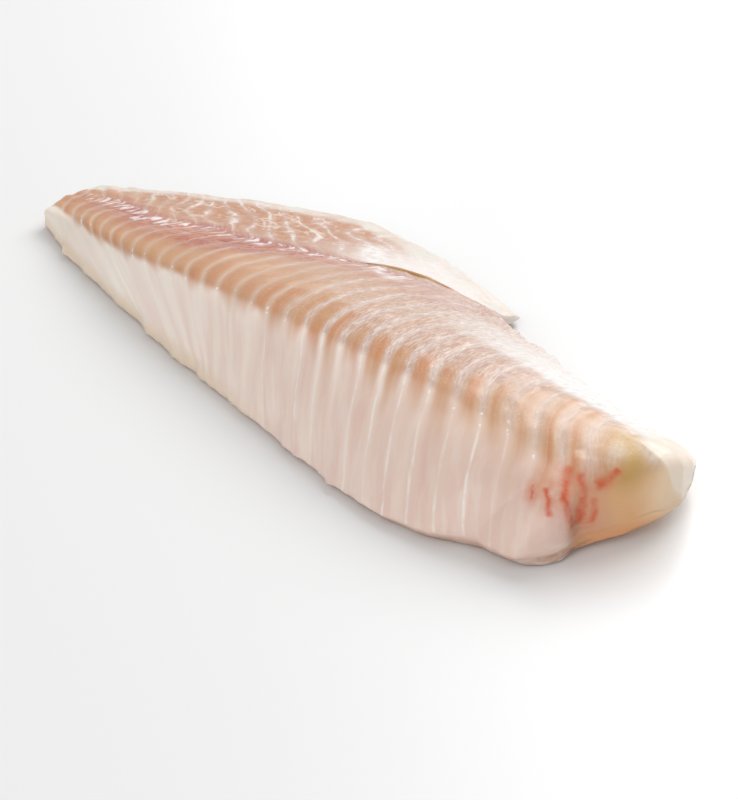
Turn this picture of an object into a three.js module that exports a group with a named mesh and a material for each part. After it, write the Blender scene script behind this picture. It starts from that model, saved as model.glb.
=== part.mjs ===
// A raw, skinless cod fillet lying skin side up. It is one piece of flesh: a thick loin along the back,
// a thin belly flap beyond it that a slit parts from the loin, and a blunt, rounded nose at the head end.
// Millimetres, +Z up. +X runs to the head end, +Y to the belly side, and the underside lies on z = 0.
import * as THREE from 'three';

const LENGTH = 345;

// Each list holds a size at eleven stations, evenly spaced from the tail end to the head end.
// Places across the fillet (y).
const BACK_EDGE = [-28, -37, -43.5, -50.5, -57.5, -62, -67, -72, -74.2, -69.5, -58];
const SHOULDER = [-28, -30.5, -36.5, -42.5, -45, -48, -52, -55, -56, -54, -48];
const CREST = [-18, -21, -23, -25, -26, -25, -22, -20, -17, -14, -12];
const SEAM = [-13, -12, -11, -8, 6, 34, 41.5, 31, 20, 12, 11];
const LOIN_EDGE = [10, 33, 54, 62, 56, 52, 45, 38.5, 31, 25, 22];
const FLAP_EDGE = [10, 33, 54, 70.5, 74.2, 70, 62.5, 55, 50, 50, 50];
// Heights (z), with the rounding under the edges last.
const SHOULDER_TOP = [8.5, 14.5, 20, 25, 29, 31.5, 34, 35.5, 35.5, 33.5, 30];
const CREST_TOP = [9.5, 15, 20, 25, 29, 32, 34.5, 36, 35.5, 33, 29];
const SEAM_TOP = [9.5, 14, 18, 22, 23, 19, 14.5, 16, 18.5, 20, 19.5];
const FLAP_TOP = [7, 8, 8, 7.5, 7, 6.5, 6, 6, 6, 6, 6];
const EDGE_TOP = [2.5, 2.5, 2.5, 2.3, 2.2, 2.3, 2.5, 2.8, 3.5, 4.5, 6];
// How sharply the back turns over at the shoulder: 3 is nearly a corner, 1 is a soft round.
const SHOULDER_SHARPNESS = [3, 3, 3, 2.6, 2.1, 1.7, 1.4, 1.25, 1.2, 1.2, 1.2];

// The belly flap ends in a square cut, and the slit opens along its last third.
const FLAP_END = 0.612;
const FLAP_CUT = 0.004;
const FLAP_ROUNDING = 5;
const SLIT_START = 0.46;
const SLIT_OPEN = 0.485;
const SLIT_HALF_WIDTH = 0.5;
const SLIT_DEPTH = 4.5;
const LIP_DROP = 2;
const LIP_WIDTH = 3;
// The loin falls away from its crest as this power of the distance, and the flap thins as this one.
const LOIN_FALL = 1.8;
const FLAP_TAPER = 0.9;
// How closely the flap's points crowd to its edge, and the edge's height where there is no flap.
const FLAP_CROWDING = 1.6;
const LOIN_EDGE_SHARE = 0.8;

// Outlines of the two ends, seen from above, as [y, x] points.
const TAIL_OUTLINE = [[-36, -160], [-28, -163.5], [-24, -164.5], [-8, -168.5], [6, -172.5], [14, -172]];
const HEAD_OUTLINE = [
  [-74, 139], [-66, 149], [-58, 156], [-52, 160.5], [-47, 162], [-43.5, 162], [-40, 161],
  [-36, 162.5], [-22, 168.5], [-10, 172.3], [-2, 172.5], [8, 169], [18, 162.5], [28, 151], [36, 138],
];
const UNDERCUT = 1.3;
const TAIL_REACH = 52;
const HEAD_REACH = 62;
const TAIL_ROUNDING = 2;
const NOSE_ROUNDING = 16;
const NOSE_MIDDLE = -14;
const NOSE_NARROWING = 0.06;
// The end face of the nose has this share of the height behind it.
const NOSE_THIN = 0.5;
// Across the head end, as [y, value] points: the height that the nose closes on, and how bluntly it does.
const NOSE_HEIGHT = [[-70, 3], [-48, 3.5], [-42, 6], [-30, 9], [30, 10]];
const NOSE_FALL = [[-60, 0.3], [-46, 0.3], [-36, 0.6], [40, 0.7]];

// The cut edges wander a little in and out.
const RIPPLE = { back: 0.5, belly: 0.8 };

// The flakes: how many, how deep the grooves between them are, and how their edges run.
const FLAKES = 35;
const STEPS_PER_FLAKE = 3;
const GROOVE_DEPTH = 0.5;
const BACK_GROOVE_SHARE = 0.4;
const SEAM_GROOVE_SHARE = 0.5;
const BACK_LEAN = { start: 8, tail: 2, head: 0.55, from: -70, to: 70 };
const BELLY_LEAN = { start: 25, tail: 0.7, head: 0, from: -50, to: 38 };
const LEAN_FADE = { tail: 110, head: 100 };

// How many points each stretch of a cross-section gets.
const POINTS = { back: 11, loin: 10, slit: 2, flap: 11, under: 9 };

const clamp01 = (q) => Math.min(1, Math.max(0, q));
const mix = (a, b, q) => a + (b - a) * q;

function ramp(from, to, x) {
  const q = clamp01((x - from) / (to - from));
  return q * q * (3 - 2 * q);
}

// A smooth cubic curve through evenly spaced values, read at the fraction t of its run.
function loft(values, t) {
  const last = values.length - 1;
  const place = Math.min(1.05, Math.max(-0.05, t)) * last;
  const i = Math.min(last - 1, Math.max(0, Math.floor(place)));
  const slope = (k) => {
    const before = Math.max(0, k - 1);
    const after = Math.min(last, k + 1);
    return (values[after] - values[before]) / (after - before);
  };
  const q = place - i;
  return (1 + 2 * q) * (1 - q) ** 2 * values[i] + q * (1 - q) ** 2 * slope(i)
    + q * q * (3 - 2 * q) * values[i + 1] + q * q * (q - 1) * slope(i + 1);
}

// Straight lines through [at, value] points.
function along(points, at) {
  if (at <= points[0][0]) return points[0][1];
  for (let i = 1; i < points.length; i++) {
    const [a, from] = points[i - 1];
    const [b, to] = points[i];
    if (at <= b) return mix(from, to, (at - a) / (b - a));
  }
  return points[points.length - 1][1];
}

// An uneven wave along the length, between -1 and 1.
const ripple = (t) => 0.5 * Math.sin(47 * t) + 0.3 * Math.sin(83 * t + 1) + 0.2 * Math.sin(151 * t + 2);

// All that one cross-section needs, at the fraction t of the length.
function sizesAt(t) {
  const flap = 1 - ramp(FLAP_END - FLAP_CUT, FLAP_END + FLAP_CUT, t);
  const open = ramp(SLIT_START, SLIT_OPEN, t) * flap;
  const seam = loft(SEAM, t);
  const seamTop = loft(SEAM_TOP, t);
  const bellyEdge = mix(loft(LOIN_EDGE, t), loft(FLAP_EDGE, t), flap) + RIPPLE.belly * ripple(t + 0.5);
  return {
    open, seam, seamTop, bellyEdge,
    lip: SLIT_HALF_WIDTH * (1 + open),
    backEdge: loft(BACK_EDGE, t) + RIPPLE.back * ripple(t),
    shoulder: loft(SHOULDER, t),
    shoulderTop: loft(SHOULDER_TOP, t),
    sharpness: loft(SHOULDER_SHARPNESS, t),
    crest: loft(CREST, t),
    crestTop: loft(CREST_TOP, t),
    edgeTop: loft(EDGE_TOP, t),
    bellyTop: mix(LOIN_EDGE_SHARE * seamTop, loft(FLAP_TOP, t), flap),
    bellyRounding: mix(bellyEdge - seam, FLAP_ROUNDING, flap),
  };
}

// Each stretch gives the [y, z] of a cross-section at the fraction f of its own run.
const STRETCHES = {
  // From the board up the back and round the shoulder to the crest: an arc of a conic.
  back(c, f) {
    const start = (1 - f) ** 2;
    const turn = 2 * c.sharpness * f * (1 - f);
    const end = f * f;
    const sum = start + turn + end;
    const y = (start * c.backEdge + turn * c.shoulder + end * c.crest) / sum;
    const z = (start * c.edgeTop + turn * c.shoulderTop + end * c.crestTop) / sum;
    return [y, z];
  },
  // From the crest down to the seam. The lip of an open slit is rounded over.
  loin(c, f) {
    const width = c.seam - c.lip - c.crest;
    const round = c.open * LIP_DROP * Math.exp(-((1 - f) * width) / LIP_WIDTH);
    return [c.crest + width * f, mix(c.crestTop, c.seamTop, f ** LOIN_FALL) - round];
  },
  // Across the slit, at its full depth where it is open.
  slit(c, f) {
    const from = STRETCHES.loin(c, 1)[1];
    const to = STRETCHES.flap(c, 0)[1];
    return [mix(c.seam - c.lip, c.seam + c.lip, f), mix(from, to, f) - c.open * SLIT_DEPTH];
  },
  // From the seam out to the belly edge, thinning evenly and rounded at the edge.
  flap(c, f) {
    const out = 1 - (1 - f) ** FLAP_CROWDING;
    const y = mix(c.seam + c.lip, c.bellyEdge, out);
    const inside = clamp01((c.bellyEdge - y) / c.bellyRounding);
    const top = mix(c.seamTop, c.bellyTop, out ** FLAP_TAPER);
    return [y, mix(c.edgeTop, top, Math.sqrt(1 - (1 - inside) ** 2))];
  },
  // Back below, flat on the board but for the rounding under both edges.
  under(c, f) {
    const y = mix(c.bellyEdge, c.backEdge, (1 - Math.cos(Math.PI * f)) / 2);
    const inside = clamp01(Math.min(y - c.backEdge, c.bellyEdge - y) / (UNDERCUT * c.edgeTop));
    return [y, c.edgeTop * (1 - Math.sqrt(1 - (1 - inside) ** 2))];
  },
};

// The lanes run from tail to head, one through each point of a cross-section.
const LANES = [
  ...Array.from({ length: POINTS.back }, (_, i) => ['back', i / (POINTS.back - 1)]),
  ...Array.from({ length: POINTS.loin }, (_, i) => ['loin', (i + 1) / POINTS.loin]),
  ...Array.from({ length: POINTS.slit }, (_, i) => ['slit', (i + 1) / (POINTS.slit + 1)]),
  ...Array.from({ length: POINTS.flap }, (_, i) => ['flap', i / (POINTS.flap - 1)]),
  ...Array.from({ length: POINTS.under }, (_, i) => ['under', (i + 1) / (POINTS.under + 1)]),
];
const TOP_LANES = LANES.length - POINTS.under;
const CREST_LANE = POINTS.back - 1;

const point = (t, [stretch, f]) => STRETCHES[stretch](sizesAt(t), f);

// How far each lane lies from the crest over the skin side, less than 0 on the back.
function reaches(t) {
  const points = LANES.slice(0, TOP_LANES).map((lane) => point(t, lane));
  const run = [0];
  for (let i = 1; i < TOP_LANES; i++) {
    const [y, z] = points[i];
    run.push(run[i - 1] + Math.hypot(y - points[i - 1][0], z - points[i - 1][1]));
  }
  return run.map((r) => r - run[CREST_LANE]);
}

// The flake edges lean to the head down the back, and to the tail out over the belly side.
function lean(x, reach) {
  const slant = (side) => mix(side.tail, side.head, ramp(side.from, side.to, x));
  const back = slant(BACK_LEAN) * Math.max(0, -reach - BACK_LEAN.start);
  const belly = slant(BELLY_LEAN) * Math.max(0, reach - BELLY_LEAN.start);
  const fade = ramp(0, LEAN_FADE.tail, x + LENGTH / 2) * ramp(0, LEAN_FADE.head, BODY_END - x);
  return (back - belly) * fade;
}

// Bends the ends from straight cuts to their outlines.
function endShift(x, y) {
  const tail = (along(TAIL_OUTLINE, y) + LENGTH / 2) * ramp(TAIL_REACH - LENGTH / 2, -LENGTH / 2, x);
  const head = (along(HEAD_OUTLINE, y) - LENGTH / 2) * ramp(LENGTH / 2 - HEAD_REACH, LENGTH / 2, x);
  return tail + head;
}

const BODY_START = TAIL_ROUNDING - LENGTH / 2;
const BODY_END = LENGTH / 2 - NOSE_ROUNDING;

function bodyRing(x) {
  const t = x / LENGTH + 0.5;
  const reach = reaches(t);
  return LANES.map((lane, j) => {
    const under = mix(lean(x, reach[TOP_LANES - 1]), lean(x, reach[0]), lane[1]);
    const shift = j < TOP_LANES ? lean(x, reach[j]) : under;
    const [y, z] = point(t + shift / LENGTH, lane);
    return [x + shift, y, z];
  });
}

// The tail end is nearly flat: its rim is rounded by a few millimetres, then the face closes in.
function tailRing(angle, share) {
  const ring = bodyRing(BODY_START);
  const inset = TAIL_ROUNDING * (1 - Math.cos(angle));
  const top = Math.max(...ring.map((p) => p[2]));
  const left = Math.min(...ring.map((p) => p[1]));
  const right = Math.max(...ring.map((p) => p[1]));
  const middle = [(left + right) / 2, top / 2];
  const keep = [(1 - inset / (right - middle[0])) * share, (1 - inset / (top - middle[1])) * share];
  return ring.map(([x, y, z]) => [
    x - TAIL_ROUNDING * Math.sin(angle),
    mix(middle[0], y, keep[0]),
    mix(middle[1], z, keep[1]),
  ]);
}

// The nose comes down in a round, and the narrow face that is left closes in.
function noseRing(angle, share) {
  const middle = along(NOSE_HEIGHT, NOSE_MIDDLE);
  return bodyRing(BODY_END).map(([x, y, z]) => {
    const base = along(NOSE_HEIGHT, y);
    const fall = Math.cos(angle) ** along(NOSE_FALL, y);
    const height = base + (z - base) * mix(NOSE_THIN, 1, fall);
    const across = mix(NOSE_MIDDLE, y, (1 - NOSE_NARROWING * (1 - Math.cos(angle))) * share);
    return [x + NOSE_ROUNDING * Math.sin(angle), across, mix(middle, height, share)];
  });
}

const QUARTER = Math.PI / 2;
const CLOSING = [0.8, 0.55, 0.3, 0.05];
const TAIL_STEPS = 4;
const NOSE_STEPS = 8;

function allRings() {
  const tail = CLOSING.toReversed().map((share) => ({ points: tailRing(QUARTER, share), groove: 0 }));
  for (let i = TAIL_STEPS; i > 0; i--) {
    tail.push({ points: tailRing((QUARTER * i) / TAIL_STEPS, 1), groove: 0 });
  }
  const pitch = LENGTH / FLAKES / STEPS_PER_FLAKE;
  const steps = Math.round((BODY_END - BODY_START) / pitch);
  const stations = Array.from({ length: steps + 1 }, (_, i) => ({
    x: mix(BODY_START, BODY_END, i / steps),
    groove: i % STEPS_PER_FLAKE === 0 ? 1 : 0,
  }));
  for (const side of [-1, -0.4, 0.4, 1]) {
    stations.push({ x: (FLAP_END - 0.5 + side * FLAP_CUT) * LENGTH, groove: 0 });
  }
  stations.sort((a, b) => a.x - b.x);
  const body = stations.map(({ x, groove }) => ({ points: bodyRing(x), groove }));
  const nose = [];
  for (let i = 1; i <= NOSE_STEPS; i++) {
    nose.push({ points: noseRing((QUARTER * i) / NOSE_STEPS, 1), groove: 0 });
  }
  nose.push(...CLOSING.map((share) => ({ points: noseRing(QUARTER, share), groove: 0 })));
  return [...tail, ...body, ...nose];
}

// The share of the full groove depth that each stretch takes: less down the back, none at the edges.
const GROOVE_SHARE = {
  back: (f) => BACK_GROOVE_SHARE * ramp(0, 0.3, f) + (1 - BACK_GROOVE_SHARE) * ramp(0.4, 0.8, f),
  loin: (f) => mix(1, SEAM_GROOVE_SHARE, ramp(0.8, 1, f)),
  slit: () => SEAM_GROOVE_SHARE,
  flap: (f) => mix(SEAM_GROOVE_SHARE, 1, ramp(0, 0.2, f)) * (1 - ramp(0.7, 1, f)),
  under: () => 0,
};

function filletGeometry() {
  const rings = allRings();
  const placed = ([x, y, z]) => new THREE.Vector3(x + endShift(x, y), y, z);
  const grid = rings.map(({ points }) => points.map(placed));
  const lanes = LANES.length;
  const vertices = [];
  grid.forEach((ring, i) => ring.forEach((at, j) => {
    const depth = rings[i].groove * GROOVE_DEPTH * GROOVE_SHARE[LANES[j][0]](LANES[j][1]);
    if (depth === 0) {
      vertices.push(at.x, at.y, at.z);
      return;
    }
    const run = grid[i + 1][j].clone().sub(grid[i - 1][j]);
    const across = ring[(j + 1) % lanes].clone().sub(ring[(j + lanes - 1) % lanes]);
    const outward = run.cross(across).normalize();
    at = at.clone().addScaledVector(outward, -depth);
    vertices.push(at.x, at.y, at.z);
  }));
  const faces = [];
  for (let i = 0; i + 1 < grid.length; i++) {
    for (let j = 0; j < lanes; j++) {
      const here = i * lanes + j;
      const beside = i * lanes + ((j + 1) % lanes);
      faces.push(here, here + lanes, beside, beside, here + lanes, beside + lanes);
    }
  }
  for (const [ring, turn] of [[0, 1], [grid.length - 1, -1]]) {
    const centre = new THREE.Vector3();
    grid[ring].forEach((p) => centre.addScaledVector(p, 1 / lanes));
    vertices.push(centre.x, centre.y, centre.z);
    for (let j = 0; j < lanes; j++) {
      const a = ring * lanes + j;
      const b = ring * lanes + ((j + 1) % lanes);
      faces.push(vertices.length / 3 - 1, ...(turn > 0 ? [a, b] : [b, a]));
    }
  }
  const geometry = new THREE.BufferGeometry();
  geometry.setAttribute('position', new THREE.Float32BufferAttribute(vertices, 3));
  geometry.setIndex(faces);
  geometry.computeVertexNormals();
  return geometry;
}

const flesh = new THREE.MeshStandardMaterial({ color: 0xdcbfae, roughness: 0.35, metalness: 0 });
const fillet = new THREE.Mesh(filletGeometry(), flesh);
fillet.name = 'fillet';

const group = new THREE.Group();
group.add(fillet);

export default group;
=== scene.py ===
import bpy
import numpy as np
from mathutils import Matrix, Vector


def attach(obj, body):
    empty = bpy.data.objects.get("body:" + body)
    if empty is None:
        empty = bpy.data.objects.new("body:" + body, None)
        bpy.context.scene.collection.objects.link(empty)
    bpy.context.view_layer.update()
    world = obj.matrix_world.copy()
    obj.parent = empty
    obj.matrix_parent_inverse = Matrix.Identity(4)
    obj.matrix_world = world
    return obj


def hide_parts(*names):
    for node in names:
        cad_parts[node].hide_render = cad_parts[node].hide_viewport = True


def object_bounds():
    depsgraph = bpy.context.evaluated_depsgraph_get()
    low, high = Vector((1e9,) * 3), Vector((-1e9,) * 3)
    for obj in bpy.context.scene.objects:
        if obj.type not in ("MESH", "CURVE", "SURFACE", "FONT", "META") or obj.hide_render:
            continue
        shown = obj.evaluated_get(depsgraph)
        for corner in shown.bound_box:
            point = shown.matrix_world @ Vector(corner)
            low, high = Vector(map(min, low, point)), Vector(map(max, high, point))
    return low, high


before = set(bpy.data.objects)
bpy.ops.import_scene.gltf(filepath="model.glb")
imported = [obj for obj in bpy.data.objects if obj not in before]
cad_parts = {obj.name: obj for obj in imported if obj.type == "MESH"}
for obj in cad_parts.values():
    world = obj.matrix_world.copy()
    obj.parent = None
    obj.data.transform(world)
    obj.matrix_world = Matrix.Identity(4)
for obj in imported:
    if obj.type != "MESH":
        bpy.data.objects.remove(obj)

cad_low, cad_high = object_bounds()

# ---------------------------------------------------------------------------------------------------------
# The fillet's form.
# One side of a cod, cut off the backbone and skinned, lying skin side up. It is all muscle: a thick loin
# along the back, a thin belly flap that a slit parts from it, a tapered tail and a blunt, rounded nose.
# Shapes are worked out in millimetres, x to the head end, y to the belly side, and scaled to the frame.
# ---------------------------------------------------------------------------------------------------------
LENGTH = 345.0
TO_FRAME = (cad_high[0] - cad_low[0]) / LENGTH

# Sizes at eleven even stations from the tail end to the head end: places across (y), then heights (z), and
# last how sharply the back turns at the shoulder.
BACK_EDGE = [-28, -37, -43.5, -50.5, -57.5, -62, -67, -72, -74.2, -69.5, -58]
SHOULDER = [-28, -30.5, -36.5, -42.5, -45, -48, -52, -55, -56, -54, -48]
CREST = [-18, -21, -23, -25, -26, -25, -22, -20, -17, -14, -12]
SEAM = [-13, -12, -11, -8, 6, 34, 41.5, 31, 20, 12, 11]
LOIN_EDGE = [10, 33, 54, 62, 56, 52, 45, 38.5, 31, 25, 22]
FLAP_EDGE = [10, 33, 54, 70.5, 74.2, 70, 62.5, 55, 50, 50, 50]
SHOULDER_TOP = [8.5, 14.5, 20, 25, 29, 31.5, 34, 35.5, 35.5, 33.5, 30]
CREST_TOP = [9.5, 15, 20, 25, 29, 32, 34.5, 36, 35.5, 33, 29]
SEAM_TOP = [9.5, 14, 18, 22, 23, 19, 14.5, 16, 18.5, 20, 19.5]
FLAP_TOP = [7, 8, 8, 7.5, 7, 6.5, 6, 6, 6, 6, 6]
EDGE_TOP = [2.5, 2.5, 2.5, 2.3, 2.2, 2.3, 2.5, 2.8, 3.5, 4.5, 6]
SHOULDER_SHARPNESS = [3, 3, 3, 2.6, 2.1, 1.7, 1.4, 1.25, 1.2, 1.2, 1.2]

# The slit and the flap: where they start and end as shares of the length, then widths, depths and roundings
# in millimetres, and last how the loin falls and the flap tapers, as powers.
FLAP_END, FLAP_CUT, FLAP_ROUNDING = 0.612, 0.003, 5.0
SLIT_START, SLIT_OPEN = 0.46, 0.485
SLIT_HALF_WIDTH, SLIT_WIDENING, SLIT_DEPTH, SLIT_CLOSING = 0.4, 0.4, 3.0, (0.515, 0.56)
LIP_DROP, LIP_WIDTH = 0.8, 3.0
LOIN_FALL, FLAP_TAPER, FLAP_CROWDING, LOIN_EDGE_SHARE = 1.8, 0.9, 1.6, 0.8
UNDERCUT = 1.3
# Past the slit the seam is bridged from 7 mm before it, but not from less than 0.3 of the way out over the
# loin, to 0.35 of the way out past it.
BRIDGE_BEFORE, BRIDGE_LEAST, BRIDGE_AFTER, SLOPE_STEP = 7.0, 0.3, 0.35, 0.01

# The outlines of the two ends from above, as [y, x].
TAIL_OUTLINE = [[-36, -160], [-28, -163.5], [-24, -164.5], [-8, -168.5], [6, -172.5], [14, -172]]
HEAD_OUTLINE = [
    [-74, 139], [-66, 149], [-58, 156], [-52, 160.5], [-47, 162], [-43.5, 162], [-40, 161],
    [-36, 162.5], [-22, 168.5], [-10, 172.3], [-2, 172.5], [8, 169], [18, 162.5], [28, 151], [36, 138],
]
TAIL_REACH, HEAD_REACH = 52.0, 62.0
TAIL_ROUNDING, NOSE_ROUNDING = 2.0, 16.0
NOSE_MIDDLE, NOSE_NARROWING, NOSE_THIN = -14.0, 0.06, 0.5
NOSE_HEIGHT = [[-70, 3], [-48, 3.5], [-42, 6], [-30, 9], [30, 10]]
NOSE_FALL = [[-60, 0.3], [-46, 0.3], [-36, 0.6], [40, 0.7]]
RIPPLE_BACK, RIPPLE_BELLY = 0.5, 0.8

# The mesh: rings from tail to head, lanes round each ring. On each end's face the rings shrink to the least.
BODY_RINGS, TAIL_RINGS, NOSE_RINGS, FACE_RINGS, LEAST_RING = 500, 5, 30, 12, 0.03
LANES = {"back": 52, "loin": 52, "slit": 4, "flap": 46, "under": 14}


def smooth(low, high, x):
    """A smooth step: 3q^2 - 2q^3, where q is the share of the way from low to high, held to 0..1."""
    q = np.clip((x - low) / (high - low), 0.0, 1.0)
    return q * q * (3 - 2 * q)


def along(points, at):
    """Straight lines through [at, value] points."""
    places, values = np.array(points, float).T
    return np.interp(at, places, values)


def cubic(q, start, start_slope, end, end_slope):
    """The cubic from start at 0 to end at 1 with these slopes: each of the four times its own weight in q."""
    return ((1 + 2 * q) * (1 - q) ** 2 * start + q * (1 - q) ** 2 * start_slope
            + q * q * (3 - 2 * q) * end + q * q * (q - 1) * end_slope)


def loft(values, t, overrun=0.05):
    """A cubic through evenly spaced values, each slope taken from the values on both sides of it."""
    values = np.asarray(values, float)
    last = len(values) - 1
    place = np.clip(t, -overrun, 1 + overrun) * last
    i = np.clip(np.floor(place).astype(int), 0, last - 1)
    slope = np.gradient(values)
    return cubic(place - i, values[i], slope[i], values[i + 1], slope[i + 1])


def ripple(t):
    """An uneven wave along the length: three sines that don't repeat together."""
    return 0.5 * np.sin(47 * t) + 0.3 * np.sin(83 * t + 1) + 0.2 * np.sin(151 * t + 2)


def sizes_at(t):
    """All that a cross-section needs at the fraction t of the length."""
    flap = 1 - smooth(FLAP_END - FLAP_CUT, FLAP_END + FLAP_CUT, t)
    seam, seam_top = loft(SEAM, t), loft(SEAM_TOP, t)
    loin_edge = loft(LOIN_EDGE, t)
    belly_edge = loin_edge + (loft(FLAP_EDGE, t) - loin_edge) * flap + RIPPLE_BELLY * ripple(t + 0.5)
    loin_edge_top = LOIN_EDGE_SHARE * seam_top
    open_slit = smooth(SLIT_START, SLIT_OPEN, t) * flap
    wide_slit = open_slit * (1 - smooth(*SLIT_CLOSING, t))
    return {
        "open": wide_slit, "past_slit": 1 - flap,
        "lip": SLIT_HALF_WIDTH * (1 + SLIT_WIDENING * wide_slit),
        "seam": seam, "seam_top": seam_top,
        "belly_edge": belly_edge,
        "belly_top": loin_edge_top + (loft(FLAP_TOP, t) - loin_edge_top) * flap,
        "belly_rounding": (belly_edge - seam) + (FLAP_ROUNDING - (belly_edge - seam)) * flap,
        "back_edge": loft(BACK_EDGE, t) + RIPPLE_BACK * ripple(t),
        "shoulder": loft(SHOULDER, t), "shoulder_top": loft(SHOULDER_TOP, t),
        "sharpness": loft(SHOULDER_SHARPNESS, t),
        "crest": loft(CREST, t), "crest_top": loft(CREST_TOP, t),
        "edge_top": loft(EDGE_TOP, t),
    }


def back(c, f):
    """From the floor up the back to the crest: a conic arc, its middle point weighted by the sharpness."""
    start, turn, end = (1 - f) ** 2, 2 * c["sharpness"] * f * (1 - f), f * f
    total = start + turn + end
    y = (start * c["back_edge"] + turn * c["shoulder"] + end * c["crest"]) / total
    z = (start * c["edge_top"] + turn * c["shoulder_top"] + end * c["crest_top"]) / total
    return y, z


def loin(c, f):
    """From the crest to the seam: the height falls as a power of f, and an open slit's lip drops by e^-d."""
    width = c["seam"] - c["lip"] - c["crest"]
    lip_round = c["open"] * LIP_DROP * np.exp(-(1 - f) * width / LIP_WIDTH)
    z = c["crest_top"] + (c["seam_top"] - c["crest_top"]) * f ** LOIN_FALL - lip_round
    return c["crest"] + width * f, z


def flap(c, f):
    """From the seam to the belly edge: an even taper times a quarter round at the edge."""
    out = 1 - (1 - f) ** FLAP_CROWDING
    y = c["seam"] + c["lip"] + (c["belly_edge"] - c["seam"] - c["lip"]) * out
    inside = np.clip((c["belly_edge"] - y) / c["belly_rounding"], 0, 1)
    top = c["seam_top"] + (c["belly_top"] - c["seam_top"]) * out ** FLAP_TAPER
    return y, c["edge_top"] + (top - c["edge_top"]) * np.sqrt(1 - (1 - inside) ** 2)


def slit(c, f):
    """Straight across the slit, at its full depth where it is open."""
    left, right = loin(c, np.ones(1))[1], flap(c, np.zeros(1))[1]
    return c["seam"] - c["lip"] + 2 * c["lip"] * f, left + (right - left) * f - c["open"] * SLIT_DEPTH


def under(c, f):
    """Back below: flat on the floor, with a quarter round under both edges."""
    y = c["belly_edge"] + (c["back_edge"] - c["belly_edge"]) * (1 - np.cos(np.pi * f)) / 2
    edge = np.minimum(y - c["back_edge"], c["belly_edge"] - y) / (UNDERCUT * c["edge_top"])
    return y, c["edge_top"] * (1 - np.sqrt(1 - (1 - np.clip(edge, 0, 1)) ** 2))


def bridged(c, y, z):
    """Past the slit the loin runs on to its own edge: a cubic over the seam, with both sides' slopes."""
    before = np.maximum(BRIDGE_LEAST, 1 - BRIDGE_BEFORE / (c["seam"] - c["crest"]))
    (y0, z0), (y0_near, z0_near) = loin(c, before), loin(c, before - SLOPE_STEP)
    (y1, z1), (y1_near, z1_near) = flap(c, BRIDGE_AFTER), flap(c, BRIDGE_AFTER + SLOPE_STEP)
    width = y1 - y0
    slope0 = (z0 - z0_near) / (y0 - y0_near) * width
    slope1 = (z1_near - z1) / (y1_near - y1) * width
    q = np.clip((y - y0) / width, 0, 1)
    over = cubic(q, z0, slope0, z1, slope1)
    return np.where((q > 0) & (q < 1), z + (over - z) * c["past_slit"], z)


def ring_rows():
    """One row a ring: x on the body, the turns round the tail and the nose, and the share of the section."""
    half = LENGTH / 2
    body = np.linspace(TAIL_ROUNDING - half, half - NOSE_ROUNDING, BODY_RINGS)
    face = np.linspace(LEAST_RING, 1, FACE_RINGS, endpoint=False)
    tail_turn = np.linspace(np.pi / 2, 0, TAIL_RINGS, endpoint=False)
    nose_turn = np.linspace(0, np.pi / 2, NOSE_RINGS + 1)[1:]
    before, after = np.full(FACE_RINGS + TAIL_RINGS, body[0]), np.full(NOSE_RINGS + FACE_RINGS, body[-1])
    x = np.concatenate([before, body, after])
    tail = np.zeros_like(x)
    nose = np.zeros_like(x)
    share = np.ones_like(x)
    tail[:FACE_RINGS] = np.pi / 2
    tail[FACE_RINGS:FACE_RINGS + TAIL_RINGS] = tail_turn
    nose[-FACE_RINGS:] = np.pi / 2
    nose[-FACE_RINGS - NOSE_RINGS:-FACE_RINGS] = nose_turn
    share[:FACE_RINGS] = face
    share[-FACE_RINGS:] = face[::-1]
    return x[:, None], tail[:, None], nose[:, None], share[:, None]


def end_shift(x, y):
    """Bends each end from a straight cut to its outline: the outline's x at this y, faded in near the end."""
    half = LENGTH / 2
    tail = (along(TAIL_OUTLINE, y) + half) * smooth(TAIL_REACH - half, -half, x)
    head = (along(HEAD_OUTLINE, y) - half) * smooth(half - HEAD_REACH, half, x)
    return tail + head


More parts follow.
